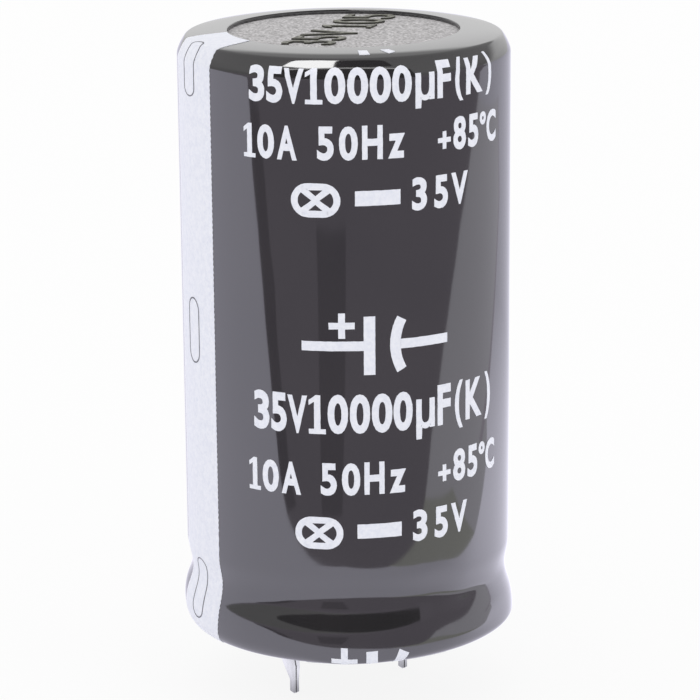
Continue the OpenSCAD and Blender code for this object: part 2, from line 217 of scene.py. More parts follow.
def ease(start, end, steps):
    """Points after the start of a soft S from one (radius, height) to another."""
    points = []
    for i in range(1, steps + 1):
        u = i / steps
        blend = (1 - math.cos(math.pi * u)) / 2
        points.append((start[0] + (end[0] - start[0]) * blend, start[1] + (end[1] - start[1]) * u))
    return points


def rounded(points, index, radius, steps):
    """The list with the corner at index replaced by a short curve."""
    before, corner, after = (Vector(points[i]) for i in (index - 1, index, index + 1))
    start = corner + (before - corner).normalized() * radius
    end = corner + (after - corner).normalized() * radius
    curve = []
    for i in range(steps + 1):
        u = i / steps
        point = start * (1 - u) ** 2 + corner * 2 * u * (1 - u) + end * u ** 2
        curve.append((point.x, point.y))
    return points[:index] + curve + points[index + 1:]


def outer_profile():
    """The plain sleeve's outer face from the top opening to the base opening, as (radius, height)."""
    points = [(OPENING_R, PLATE_TOP), (OPENING_R, CASE_H), SHOULDER_START]
    for radius, start, end, steps in SHOULDER_ARCS:
        x, z = points[-1]
        a = math.radians(start)
        centre = (x - radius * math.cos(a), z - radius * math.sin(a))
        points += arc(centre, radius, start, end, steps)[1:]
    points = rounded(points, 1, LIP_ROUND, steps=5)
    barrel = points[-1][1]
    points[-1] = (CASE_R, barrel)
    whole = BARREL_STEPS - 1 + FIRST_STEP
    for i in range(BARREL_STEPS):
        points.append((CASE_R, barrel + (PLAIN_HOLD - barrel) * (i + FIRST_STEP) / whole))
    high = PLAIN_HOLD
    for low, steps in FOOT_STEPS:
        points += [(CASE_R, high + (low - high) * i / steps) for i in range(1, steps + 1)]
        high = low
    for i in range(1, CURL_STEPS + 1):
        a = math.pi / 2 * i / CURL_STEPS
        points.append((CASE_R - PLAIN_CURL * (1 - math.cos(a)), PLAIN_RIM * (1 - math.sin(a))))
    points.append((BASE_OPENING_R, 0))
    return points


def inner_profile():
    """The sleeve's hidden face from the base opening back to the top opening."""
    edge = 0.12 * MM
    points = [(BASE_OPENING_R, SLEEVE_T)]
    points += arc(CURL_C, CURL_R, -90, 0, steps=8)
    points.append((RIM_R, BEAD_BASE))
    points += ease((RIM_R, BEAD_BASE), (CAN_R - WAIST_DEPTH, BEAD_Z), steps=10)
    points += ease((CAN_R - WAIST_DEPTH, BEAD_Z), (CAN_R, BEAD_TOP), steps=10)
    points += arc(CORNER_C, CORNER_R, 0, FILM_ANGLE, steps=8)
    points += [(PLATE_R, PLATE_TOP - edge), (PLATE_R - edge, PLATE_TOP)]
    return points


def eased_share(low, high, value):
    """How far a value is from low to high, from 0 to 1, with soft ends."""
    u = min(max((value - low) / (high - low), 0), 1)
    return u * u * (3 - 2 * u)


def foot_shape(azimuth):
    """The FOOT values at an azimuth in degrees from +X, eased between its rows."""
    turn = (azimuth - FRONT_AZ - FOOT[0][0]) % 360 + FOOT[0][0]
    rows = FOOT + [(FOOT[0][0] + 360, *FOOT[0][1:])]
    for low, high in zip(rows, rows[1:]):
        if turn <= high[0]:
            share = eased_share(low[0], high[0], turn)
            return [a + (b - a) * share for a, b in zip(low[1:], high[1:])]


def flank_share(u, straight):
    """Share of the way out from waist to rim, for u from -1 to 1; steepest just over the middle."""
    u += FLANK_SKEW * (1 - u * u)
    wave = (math.sin(math.pi / 2 * u) + 1) / math.pi
    steep = (wave + (u - u * abs(u) / 2 + 0.5) / 2) / (2 / math.pi + 0.5)
    reach = abs(u) * 2 / (1 + FLANK_EVEN)
    if abs(u) > FLANK_EVEN:
        reach = 1 - (1 - abs(u)) ** 2 / (1 - FLANK_EVEN ** 2)
    even = 0.5 + 0.5 * math.copysign(reach, u)
    return steep + (even - steep) * straight


def set_down(radius, azimuth, height):
    """The place of a point of the plain sleeve once the foot has shrunk to its shape."""
    out, up = 0, height
    if height < PLAIN_HOLD:
        *sizes, straight = foot_shape(azimuth)
        middle, half, depth, bulge = (value * MM for value in sizes)
        waist, rim = middle + half, middle - half
        knots = [(PLAIN_HOLD, PLAIN_HOLD), (PLAIN_TOP, waist + WAIST_RISE * MM), (PLAIN_WAIST, waist),
                 (PLAIN_RIM, rim), (0, 0)]
        for (a, new_a), (b, new_b) in zip(knots, knots[1:]):
            if height >= b:
                up = new_b + (new_a - new_b) * (height - b) / (a - b)
                break
        if height < PLAIN_RIM:
            out = bulge * min(max((radius - BASE_OPENING_R) / MM, 0), 1)
        elif height < PLAIN_WAIST:
            out = (depth + bulge) * flank_share((middle - up) / half, straight) - depth
        elif height < PLAIN_TOP:
            out = -depth * (1 + math.cos(math.pi * (up - waist) / (WAIST_RISE * MM))) / 2
    angle = math.radians(azimuth)
    return Vector(((radius + out) * math.cos(angle), (radius + out) * math.sin(angle), up))


class SleeveFace:
    """Places points on the sleeve by direction and by length along its outer face.

    The length equals the height on the straight barrel, so a print that repeats up the sleeve
    runs over the shoulder and under the rim as it does on a shrunk tube.
    """

    def __init__(self, points):
        self.points = [Vector(p) for p in points]
        lengths = [0]
        for a, b in zip(self.points, self.points[1:]):
            lengths.append(lengths[-1] + (b - a).length)
        start = next(i for i, p in enumerate(self.points) if abs(p.x - CASE_R) < TINY)
        offset = self.points[start].y + lengths[start]
        self.at = [offset - length for length in lengths]

    def place(self, azimuth, height, lift):
        """The point at an azimuth in degrees and a length up the face, lifted off it."""
        at = self.at
        height = min(max(height, at[-1] + TINY), at[0] - TINY)
        low, high = 0, len(at) - 1
        while high - low > 1:
            middle = (low + high) // 2
            if at[middle] > height:
                low = middle
            else:
                high = middle
        u = (at[low] - height) / (at[low] - at[high])
        point = self.points[low].lerp(self.points[high], u)
        along = (self.points[high] - self.points[low]).normalized()
        point = point + Vector((-along.y, along.x)) * lift
        return set_down(point.x, azimuth, point.y)


face = SleeveFace(outer_profile())
FACE_TOP = face.at[0]
FACE_BASE = face.at[-1]


def new_object(name, mesh, smooth=False):
    """An object in the scene, with its faces shaded smooth or flat."""
    piece = bpy.data.objects.new(name, mesh)
    bpy.context.scene.collection.objects.link(piece)
    if smooth:
        for polygon in mesh.polygons:
            polygon.use_smooth = True
    return piece


def closed_mesh(name, verts, faces):
    """The mesh of a closed solid, with its faces turned outward."""
    mesh = bpy.data.meshes.new(name)
    mesh.from_pydata([tuple(v) for v in verts], [], faces)
    bm = bmesh.new()
    bm.from_mesh(mesh)
    bmesh.ops.recalc_face_normals(bm, faces=bm.faces)
    bm.to_mesh(mesh)
    bm.free()
    return mesh


def revolve(name, outer, inner, segments):
    """A closed ring solid of the sleeve: its shrunk outer outline and its plain inner outline."""
    verts = []
    for i in range(segments):
        azimuth = 360 * i / segments
        angle = math.radians(azimuth)
        verts += [set_down(radius, azimuth, height) for radius, height in outer]
        verts += [(radius * math.cos(angle), radius * math.sin(angle), height) for radius, height in inner]
    count = len(outer) + len(inner)
    faces = []
    for i in range(segments):
        a, b = i * count, (i + 1) % segments * count
        for j in range(count):
            k = (j + 1) % count
            faces.append((a + j, a + k, b + k, b + j))
    return new_object(name, closed_mesh(name, verts, faces), smooth=True)


# Materials, all from nodes

def add_node(tree, kind, values=None, **settings):
    """A new node with its settings, then the values of its sockets by name or number."""
    node = tree.nodes.new(kind)
    for key, value in settings.items():
        setattr(node, key, value)
    for socket, value in (values or {}).items():
        node.inputs[socket].default_value = value
    return node


class Shader:
    """A small builder for one node material."""

    def __init__(self, name):
        self.material = bpy.data.materials.new(name)
        self.material.use_nodes = True
        self.tree = self.material.node_tree
        self.bsdf = self.tree.nodes["Principled BSDF"]
        self.coords = self.node("ShaderNodeTexCoord").outputs["Object"]

    def set(self, **values):
        """Sets values of the surface by name, with _ for a space."""
        for key, value in values.items():
            self.bsdf.inputs[key.replace("_", " ")].default_value = value
        return self

    def node(self, kind, values=None, **settings):
        return add_node(self.tree, kind, values, **settings)

    def link(self, source, target):
        self.tree.links.new(source, target)

    def noise(self, scale, detail=3, roughness=0.6, stretch=(1, 1, 1)):
        """Noise in the object's own space, with a scale to the metre."""
        mapping = self.node("ShaderNodeMapping", {"Scale": stretch})
        texture = self.node("ShaderNodeTexNoise", {"Scale": scale, "Detail": detail, "Roughness": roughness})
        self.link(self.coords, mapping.inputs["Vector"])
        self.link(mapping.outputs["Vector"], texture.inputs["Vector"])
        return texture.outputs["Fac"]

    def ramp(self, source, dark, light, start=0.3, end=0.7):
        """The colour from dark to light as the source goes from start to end."""
        ramp = self.node("ShaderNodeValToRGB")
        low, high = ramp.color_ramp.elements
        low.position, low.color = start, (*dark, 1)
        high.position, high.color = end, (*light, 1)
        self.link(source, ramp.inputs["Fac"])
        return ramp.outputs["Color"]

    def range(self, source, low, high):
        """The source from 0 to 1 as a number from low to high."""
        node = self.node("ShaderNodeMapRange", {"To Min": low, "To Max": high})
        self.link(source, node.inputs["Value"])
        return node.outputs["Result"]

    def bump(self, source, distance):
        """Adds a bump to those that the material has."""
        node = self.node("ShaderNodeBump", {"Distance": distance, "Strength": 1})
        self.link(source, node.inputs["Height"])
        normal = self.bsdf.inputs["Normal"]
        if normal.is_linked:
            self.link(normal.links[0].from_socket, node.inputs["Normal"])
        self.link(node.outputs["Normal"], normal)

    def colour(self, source):
        self.link(source, self.bsdf.inputs["Base Color"])

    def roughness(self, source):
        self.link(source, self.bsdf.inputs["Roughness"])


def film_material():
    """Glossy black shrunk film with faint lines along its draw direction."""
    shader = Shader("sleeve_film").set(IOR=2.15)
    streaks = shader.noise(1400, stretch=(1, 1, 0.012))
    clouds = shader.noise(90, detail=2, roughness=0.5)
    waves = shader.noise(60, detail=2, roughness=0.5)
    shader.colour(shader.ramp(clouds, (0.012, 0.011, 0.013), (0.018, 0.016, 0.018)))
    shader.roughness(shader.range(streaks, 0.03, 0.08))
    shader.bump(streaks, 0.0004 * MM)
    shader.bump(waves, 0.004 * MM)
    return shader.material


def stripe_material():
    """White ink over the film, mottled and slightly grainy."""
    shader = Shader("stripe_ink").set(IOR=1.5)
    mottle = shader.noise(2600, detail=4, roughness=0.75)
    shader.colour(shader.ramp(mottle, (0.76, 0.78, 0.88), (0.88, 0.89, 0.96), end=0.62))
    shader.roughness(shader.range(mottle, 0.3, 0.5))
    shader.bump(shader.noise(3800, detail=2), 0.008 * MM)
    return shader.material


def ink_material():
    """White ink of the rating's print."""
    shader = Shader("print_ink").set(IOR=1.5)
    mottle = shader.noise(3200)
    shader.colour(shader.ramp(mottle, (0.8, 0.82, 0.92), (0.9, 0.91, 0.98), end=0.65))
    shader.roughness(shader.range(mottle, 0.3, 0.45))
    return shader.material


def line_material():
    """Grey ink of a minus mark's thin outline."""
    shader = Shader("outline_ink").set(Roughness=0.5)
    mottle = shader.noise(2200, detail=2, roughness=0.5)
    shader.colour(shader.ramp(mottle, (0.1, 0.1, 0.12), (0.17, 0.17, 0.2)))
    return shader.material


def plate_material():
    """Fine-grained moulded plastic of the plate in the top opening."""
    shader = Shader("plate_grain").set(IOR=1.45)
    grain = shader.noise(5200, detail=2)
    shader.colour(shader.ramp(grain, (0.28, 0.27, 0.272), (0.7, 0.682, 0.69), start=0.34, end=0.66))
    shader.roughness(shader.range(grain, 0.6, 0.8))
    shader.bump(grain, 0.03 * MM)
    return shader.material


def emboss_material():
    """The plate's raised numerals, with painted shade: dark at their sides and lighter on top."""
    shader = Shader("plate_numerals").set(IOR=1.5)
    grain = shader.noise(3600)
    # Painted shade and light: the sides take a darker colour than the tops, picked by the way each face turns
    shaded_sides = shader.ramp(grain, (0.02, 0.02, 0.012), (0.06, 0.058, 0.045))
    lit_tops = shader.ramp(grain, (0.03, 0.029, 0.02), (0.3, 0.295, 0.24), start=0.35, end=0.65)
    facing = shader.node("ShaderNodeNewGeometry")
    split = shader.node("ShaderNodeSeparateXYZ")
    mix = shader.node("ShaderNodeMix", data_type="RGBA")
    shader.link(facing.outputs["True Normal"], split.inputs[0])
    shader.link(split.outputs["Z"], mix.inputs["Factor"])
    shader.link(shaded_sides, mix.inputs["A"])
    shader.link(lit_tops, mix.inputs["B"])
    shader.colour(mix.outputs["Result"])
    shader.roughness(shader.range(grain, 0.4, 0.6))
    shader.bump(grain, 0.01 * MM)
    return shader.material


def rubber_material():
    """Matte black rubber with a faint moulded grain."""
    shader = Shader("deck_rubber").set(IOR=1.45)
    grain = shader.noise(1500, detail=4)
    shader.colour(shader.ramp(grain, (0.02, 0.02, 0.021), (0.036, 0.035, 0.036)))
    shader.roughness(shader.range(grain, 0.55, 0.8))
    shader.bump(grain, 0.02 * MM)
    return shader.material


def metal_material(name, dark, light, roughness, scale, stretch=(1, 1, 1)):
    """Bare metal with a fine grain and a lowest and highest roughness."""
    shader = Shader(name).set(Metallic=1.0)
    grain = shader.noise(scale, stretch=stretch)
    shader.colour(shader.ramp(grain, dark, light))
    shader.roughness(shader.range(grain, *roughness))
    shader.bump(grain, 0.002 * MM)
    return shader.material


def terminal_material():
    """Bright tin, its colour darker toward the tips."""
    shader = Shader("bright_tin").set(Metallic=1.0)
    grain = shader.noise(1100, detail=4, roughness=0.65, stretch=(1, 1, 0.2))
    split = shader.node("ShaderNodeSeparateXYZ")
    reach, least = 2 * MM, 0.35
    tip_darkening = shader.node("ShaderNodeMapRange", {"From Min": TIP_Z, "From Max": TIP_Z + reach, "To Min": least})
    scaled = shader.node("ShaderNodeVectorMath", operation="SCALE")
    shader.link(shader.coords, split.inputs[0])
    shader.link(split.outputs["Z"], tip_darkening.inputs["Value"])
    shader.link(shader.ramp(grain, (0.5, 0.51, 0.48), (0.8, 0.81, 0.78)), scaled.inputs[0])
    shader.link(tip_darkening.outputs["Result"], scaled.inputs["Scale"])
    shader.colour(scaled.outputs["Vector"])
    shader.roughness(shader.range(grain, 0.2, 0.35))
    shader.bump(grain, 0.003 * MM)
    return shader.material


def paper_material(name, dark, light):
    """Fibrous paper or card."""
    shader = Shader(name).set(IOR=1.45)
    fibre = shader.noise(1800, detail=5, roughness=0.7, stretch=(1, 1, 0.4))
    shader.colour(shader.ramp(fibre, dark, light))
    shader.roughness(shader.range(fibre, 0.7, 0.9))
    shader.bump(fibre, 0.01 * MM)
    return shader.material


film = film_material()
stripe_ink = stripe_material()
print_ink = ink_material()
line_ink = line_material()
emboss = emboss_material()
tin = terminal_material()
rivet_metal = metal_material("rivet_aluminium", (0.66, 0.67, 0.69), (0.82, 0.83, 0.84), (0.22, 0.38), 1200)
can_metal = metal_material("can_aluminium", (0.7, 0.71, 0.72), (0.82, 0.83, 0.84), (0.25, 0.35), 1500,
                           stretch=(1, 1, 0.05))
foil_metal = metal_material("foil_aluminium", (0.7, 0.7, 0.71), (0.84, 0.84, 0.85), (0.3, 0.45), 2200)
winding_paper = paper_material("winding_paper", (0.5, 0.44, 0.3), (0.66, 0.6, 0.44))
board = paper_material("deck_board", (0.12, 0.065, 0.03), (0.2, 0.11, 0.055))
disc_card = paper_material("disc_card", (0.6, 0.56, 0.45), (0.74, 0.7, 0.58))
tape_film = paper_material("winding_tape", (0.4, 0.3, 0.1), (0.55, 0.43, 0.17))

# Material of each of the frame's solids that stays
NODE_MATERIALS = {
    "top_plate": plate_material(),
    "can": can_metal,
    "deck_rubber": rubber_material(),
    "deck_board": board,
    "terminal_negative": tin,
    "terminal_positive": tin,
    "rivet_negative": rivet_metal,
    "rivet_positive": rivet_metal,
    "washer_negative": rivet_metal,
    "washer_positive": rivet_metal,
    "cathode_tab_inner": foil_metal,
    "cathode_tab_outer": foil_metal,
    "anode_tab_inner": foil_metal,
    "anode_tab_outer": foil_metal,
    "winding": winding_paper,
    "winding_tape": tape_film,
    "end_disc": disc_card,
}
for name, material in NODE_MATERIALS.items():
    solid = nodes[name]
    solid.data.materials.clear()
    solid.data.materials.append(material)


# Pieces on the sleeve

def finish_piece(piece, material, slot, *replaced):
    """Gives a piece its material and hides the nodes that it stands for; the slot is not used."""
    piece.data.materials.append(material)
    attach(piece, "root")
    if replaced:
        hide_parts(*replaced)
    return piece


def make_sleeve():
    """The shrunk black film."""
    piece = revolve("sleeve_film", outer_profile(), inner_profile(), SLEEVE_SEGMENTS)
    finish_piece(piece, film, "sleeve_black", "sleeve")


def thin_solid(name, bm, place, thickness):
    """A closed skin from a flat mesh of (x, y), put in place at two lifts by place(x, y, lift)."""
    bm.verts.index_update()
    flat = [(v.co.x, v.co.y) for v in bm.verts]
    count = len(flat)
    verts = [place(x, y, 0) for x, y in flat] + [place(x, y, thickness) for x, y in flat]
    faces = []
    for f in bm.faces:
        index = [v.index for v in f.verts]
        faces.append(tuple(i + count for i in index))
        faces.append(tuple(reversed(index)))
    for edge in bm.edges:
        if len(edge.link_faces) == 1:
            a, b = (v.index for v in edge.verts)
            faces.append((a, b, b + count, a + count))
    bm.free()
    return new_object(name, closed_mesh(name, verts, faces))


def make_stripe():
    """White stripe from the lip to the rim, with a finely serrated right edge."""
    base = FACE_BASE + STRIPE_START
    top = FACE_TOP - STRIPE_END
    rows = int((top - base) / STRIPE_ROW)
    rng = random.Random(SEED)
    bm = bmesh.new()
    grid = []
    for j in range(rows + 1):
        height = base + (top - base) * j / rows
        out = TOOTH if j % (2 * TOOTH_ROWS) < TOOTH_ROWS else 0
        edge = STRIPE_AZ + STRIPE_SPAN / 2 + out * rng.uniform(*TOOTH_SHARES)
        low = STRIPE_AZ - STRIPE_SPAN / 2 + rng.uniform(-RIPPLE, RIPPLE)
        row = [low + (edge - low) * i / STRIPE_COLUMNS for i in range(STRIPE_COLUMNS + 1)]
        grid.append([bm.verts.new((azimuth, height, 0)) for azimuth in row])
    for lower, upper in zip(grid, grid[1:]):
        for i in range(STRIPE_COLUMNS):
            bm.faces.new((lower[i], lower[i + 1], upper[i + 1], upper[i]))
    piece = thin_solid("stripe_ink", bm, face.place, INK_T)
    finish_piece(piece, stripe_ink, "ink_white", "polarity_stripe")


# Flat shapes for the print, in millimetres

def text_shape(body, width, height, weight):
    """A filled text from the built-in font, centred and fitted to a width and a height."""
    curve = bpy.data.curves.new("text", "FONT")
    curve.body = body
    curve.offset = weight
    curve.resolution_u = 5
    holder = bpy.data.objects.new("text", curve)
    bpy.context.scene.collection.objects.link(holder)
    graph = bpy.context.evaluated_depsgraph_get()
    mesh = bpy.data.meshes.new_from_object(holder.evaluated_get(graph))
    bm = bmesh.new()
    bm.from_mesh(mesh)
    bpy.data.objects.remove(holder)
    bpy.data.curves.remove(curve)
    bpy.data.meshes.remove(mesh)
    bmesh.ops.remove_doubles(bm, verts=bm.verts, dist=1e-5)
    xs = [v.co.x for v in bm.verts]
    ys = [v.co.y for v in bm.verts]
    middle = Vector(((min(xs) + max(xs)) / 2, (min(ys) + max(ys)) / 2, 0))
    for v in bm.verts:
        v.co -= middle
        v.co.x *= width / (max(xs) - min(xs))
        v.co.y *= height / (max(ys) - min(ys))
        v.co.z = 0
    return bm


def figure_one(width, height, weight):
    """A figure one with a flag and a foot, which the built-in font's one lacks."""
    w, h = width / 2, height / 2
    stem, foot = (ONE_STEM + weight) * height, (ONE_FOOT + weight) * height
    flag_top, flag_base, flag_root = (h - height * share for share in ONE_FLAG)
    points = [(-w, -h), (w, -h), (w, foot - h), (stem, foot - h), (stem, h), (-stem / 2, h), (-w, flag_top),
              (-w, flag_base), (-stem, flag_root), (-stem, foot - h), (-w, foot - h)]
    bm = outline_shape([points])
    bm.normal_update()
    bmesh.ops.triangulate(bm, faces=bm.faces)
    return bm


def letter_shape(body, width, height, weight):
    """A letter or a group of them, with a figure one of its own and a finer micro sign."""
    if body == "1":
        return figure_one(width, height, weight)
    return text_shape(body, width, height, weight * (MICRO_SHARE if body == "\u00b5" else 1))


def outline_shape(polygons):
    """A flat mesh of separate polygons."""
    bm = bmesh.new()
    for polygon in polygons:
        bm.faces.new([bm.verts.new((x, y, 0)) for x, y in polygon])
    return bm


def band_shape(outer, inner):
    """A flat closed band between two loops of as many points."""
    bm = bmesh.new()
    loops = [[bm.verts.new((x, y, 0)) for x, y in loop] for loop in (outer, inner)]
    count = len(outer)
    for i in range(count):
        k = (i + 1) % count
        bm.faces.new((loops[0][i], loops[0][k], loops[1][k], loops[1][i]))
    return bm


def slot_loop(width, length, steps=10):
    """The outline of an upright slot with round ends."""
    radius = width / 2
    straight = (length - width) / 2
    return arc((0, straight), radius, 0, 180, steps) + arc((0, -straight), radius, 180, 360, steps)


def bar(x0, y0, x1, y1):
    """A rectangle's corners."""
    return [(x0, y0), (x1, y0), (x1, y1), (x0, y1)]


def crossed_oval():
    """Oval ring with two crossed strokes, as a general sign for the negative side."""
    width, height, stroke = 3.62, 2.5, 0.5
    # Half the spans of the crossed strokes, and of the middle where they meet
    reach_x, reach_y = 1.09, 0.9
    hub_x, hub_y = 0.2945, 0.31
    outer = [(y, -x) for x, y in slot_loop(height, width, 16)]
    inner = [(y, -x) for x, y in slot_loop(height - 2 * stroke, width - 2 * stroke, 16)]
    bm = band_shape(outer, inner)
    corners = [Vector((sx * reach_x, sy * reach_y)) for sx, sy in ((1, 1), (-1, 1), (-1, -1), (1, -1))]
    hub = [(hub_x, 0), (0, hub_y), (-hub_x, 0), (0, -hub_y)]
    middle = [bm.verts.new((x, y, 0)) for x, y in hub]
    bm.faces.new(middle)
    for i, corner in enumerate(corners):
        along = corner.normalized()
        across = Vector((-along.y, along.x)) * stroke / 2
        tip0 = bm.verts.new((*(corner - across), 0))
        tip1 = bm.verts.new((*(corner + across), 0))
        bm.faces.new((middle[i], tip0, tip1, middle[(i + 1) % 4]))
    return bm


def capacitor_symbol():
    """The plain circuit symbol: two leads, a flat plate, a curved plate and a plus sign."""
    curve_centre, curve_r, plate = (5.3, 0), 4.4, 0.8
    sweep, steps = 29, 10
    outer = arc(curve_centre, curve_r, 180 - sweep, 180 + sweep, steps)
    inner = arc(curve_centre, curve_r - plate, 180 - sweep, 180 + sweep, steps)
    quads = [(outer[i], outer[i + 1], inner[i + 1], inner[i]) for i in range(steps)]
    leads = [bar(-5.6, -0.36, -1.05, 0.36), bar(1.72, -0.36, 5.6, 0.36)]
    plates = [bar(-1.05, -2.2, -0.2, 2.2)]
    plus = [bar(-3.6, 1.28, -2.9, 1.78), bar(-2.9, 1.28, -2.4, 1.78), bar(-2.4, 1.28, -1.7, 1.78),
            bar(-2.9, 1.78, -2.4, 2.48), bar(-2.9, 0.58, -2.4, 1.28)]
    bm = outline_shape(leads + plates + quads + plus)
    bmesh.ops.remove_doubles(bm, verts=bm.verts, dist=1e-4)
    return bm


def cut_in_grid(bm, step, low, high):
    """Cuts a flat mesh into cells that can follow the sleeve, and drops what lies outside the face."""
    def cut(place, normal, **drop):
        geometry = bm.verts[:] + bm.edges[:] + bm.faces[:]
        bmesh.ops.bisect_plane(bm, geom=geometry, dist=1e-6, plane_co=place, plane_no=normal, **drop)

    cut((0, low, 0), (0, 1, 0), clear_inner=True)
    cut((0, high, 0), (0, 1, 0), clear_outer=True)
    if not bm.verts:
        return
    for axis in (0, 1):
        values = [v.co[axis] for v in bm.verts]
        value = math.ceil(min(values) / step) * step
        normal = (1 - axis, axis, 0)
        while value < max(values):
            cut((value * (1 - axis), value * axis, 0), normal)
            value += step


def roughen(bm):
    """Moves the points a little, as ink creeps at a printed edge."""
    for v in bm.verts:
        shake = noise.noise_vector(Vector((v.co.x * CREEP_SCALE, v.co.y * CREEP_SCALE, 3)))
        v.co.x += shake.x * INK_CREEP
        v.co.y += shake.y * INK_CREEP


def drawn(height):
    """Where a printed height comes to lie, as the film drew together at the shoulder."""
    for (low, new_low), (high, new_high) in zip(DRAW, DRAW[1:]):
        if height <= high:
            return new_low + (new_high - new_low) * (height - low) / (high - low)


def print_shape(name, bm, x, height, material, slot, lift=0.0, azimuth=PRINT_AZ, thickness=INK_T):
    """Prints a flat shape on the sleeve with its centre x along it and at a height, in millimetres."""
    for v in bm.verts:
        v.co.x += x
        v.co.y += height
    cut_in_grid(bm, PRINT_CELL, FACE_BASE / MM + PRINT_MARGINS[0], FACE_TOP / MM - PRINT_MARGINS[1])
    if not bm.faces:
        bm.free()
        return None
    roughen(bm)

    def place(x_mm, y_mm, up):
        return face.place(azimuth + math.degrees(x_mm * MM / CASE_R), drawn(y_mm) * MM, up + lift)

    piece = thin_solid(name, bm, place, thickness)
    return finish_piece(piece, material, slot)


def joined(shapes):
    """One flat mesh from shapes placed by their centres."""
    whole = bmesh.new()
    for bm, x, y in shapes:
        made = {v: whole.verts.new((v.co.x + x, v.co.y + y, 0)) for v in bm.verts}
        for f in bm.faces:
            whole.faces.new([made[v] for v in f.verts])
        bm.free()
    return whole


def make_rating(copy):
    """One print of the rating and its signs, copy steps up the sleeve."""
    up = copy * PRINT_PITCH
    for label, letters in LINES:
        shapes = [(letter_shape(body, width, height, LETTER_WEIGHT), x, z)
                  for body, x, z, width, height in letters]
        print_shape(f"print_{label}_{copy}", joined(shapes), 0, up, print_ink, "ink_white")
    half_w, half_h = DASH_SIZE[0] / 2, DASH_SIZE[1] / 2
    dash = outline_shape([bar(-half_w, -half_h, half_w, half_h)])
    return [print_shape(f"print_oval_{copy}", crossed_oval(), OVAL_X, OVAL_Z + up, print_ink, "ink_white"),
            print_shape(f"print_dash_{copy}", dash, DASH_X, DASH_Z + up, print_ink, "ink_white")]


def make_print():
    """Both prints of the rating, and the symbol between them and at both ends."""
    signs = make_rating(0) + make_rating(1)
    for copy in (-1, 0, 1):
        print_shape(f"print_symbol_{copy + 1}", capacitor_symbol(), SYMBOL_X, SYMBOL_Z + copy * PRINT_PITCH,
                    print_ink, "ink_white")
    for piece in signs:
        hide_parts("polarity_signs")


def make_marks():
    """Thin grey outlines of the minus marks on the stripe."""
    for i, (height, length) in enumerate(MARKS):
        bm = band_shape(slot_loop(MARK_W, length), slot_loop(MARK_W - 2 * MARK_LINE, length - 2 * MARK_LINE))
        piece = print_shape(f"mark_outline_{i}", bm, 0, height, line_ink, "ink_grey",
                            lift=INK_T, azimuth=MARK_AZ, thickness=INK_T / 2)
        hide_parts("minus_marks")


def make_numerals():
    """Raised numerals across the plate in the top opening."""
    bm = joined([(letter_shape(body, width, NUMERAL_H, 0), x, 0) for body, width, x in NUMERALS])
    cos, sin = math.cos(math.radians(NUMERAL_TURN)), math.sin(math.radians(NUMERAL_TURN))
    lean = math.tan(math.radians(NUMERAL_SLANT))

    def place(x, y, up):
        x -= lean * y
        across, along = NUMERAL_PLACE[0] + x * cos - y * sin, NUMERAL_PLACE[1] + x * sin + y * cos
        return Vector((across * MM, along * MM, PLATE_TOP + up))

    piece = thin_solid("plate_numerals", bm, place, NUMERAL_RELIEF * MM)
    finish_piece(piece, emboss, "plate_grey")


make_sleeve()
make_stripe()
make_print()
make_marks()
make_numerals()


# Stage, light and camera

def fit_to_part(x, y, z):
    """A place given with +Y away from the camera, turned into the object's frame."""
    return Matrix.Rotation(TURN, 3, "Z") @ Vector((x, y, z))


def make_camera():
    """The photograph's camera."""
    data = bpy.data.cameras.new("camera")
    data.sensor_width = SENSOR
    data.lens = CAMERA_FOCAL_PX / FRAME_PX * SENSOR
    data.clip_start = 0.01
    camera = bpy.data.objects.new("camera", data)
    bpy.context.scene.collection.objects.link(camera)
    right = Vector((1, 0, 0))
    down = Vector((0, -math.sin(CAMERA_PITCH), -math.cos(CAMERA_PITCH)))
    forward = Vector((0, math.cos(CAMERA_PITCH), -math.sin(CAMERA_PITCH)))
    rolled_right = right * math.cos(CAMERA_ROLL) + down * math.sin(CAMERA_ROLL)
    rolled_down = down * math.cos(CAMERA_ROLL) - right * math.sin(CAMERA_ROLL)
    axes = Matrix((rolled_right, -rolled_down, -forward)).transposed()
    turn = Matrix.Rotation(TURN + CAMERA_YAW, 3, "Z")
    place = fit_to_part(0, -CAMERA_DISTANCE, CAMERA_HEIGHT)
    camera.matrix_world = Matrix.Translation(place) @ (turn @ axes).to_4x4()
    bpy.context.scene.camera = camera


# Floor: half its width in metres, its grey for light that it takes, and the share of plain white in
# what the camera sees of it, where the rest takes the shadow
FLOOR_HALF = 3
FLOOR_GREY = 0.9
FLOOR_WHITE = 0.88
# Brighter pool on the floor, at the right of the object and behind it, that only mirrored rays see: its
# middle, radius and added level, how far back it comes in, in metres, and the floor's tint to such rays
POOL_PLACE = (0.06, 0.01)
POOL_R = 0.085
POOL_GAIN = 0.75
POOL_FADE = (-0.03, 0.005)
MIRRORED_TINT = (1.02, 1.0, 1.16, 1)


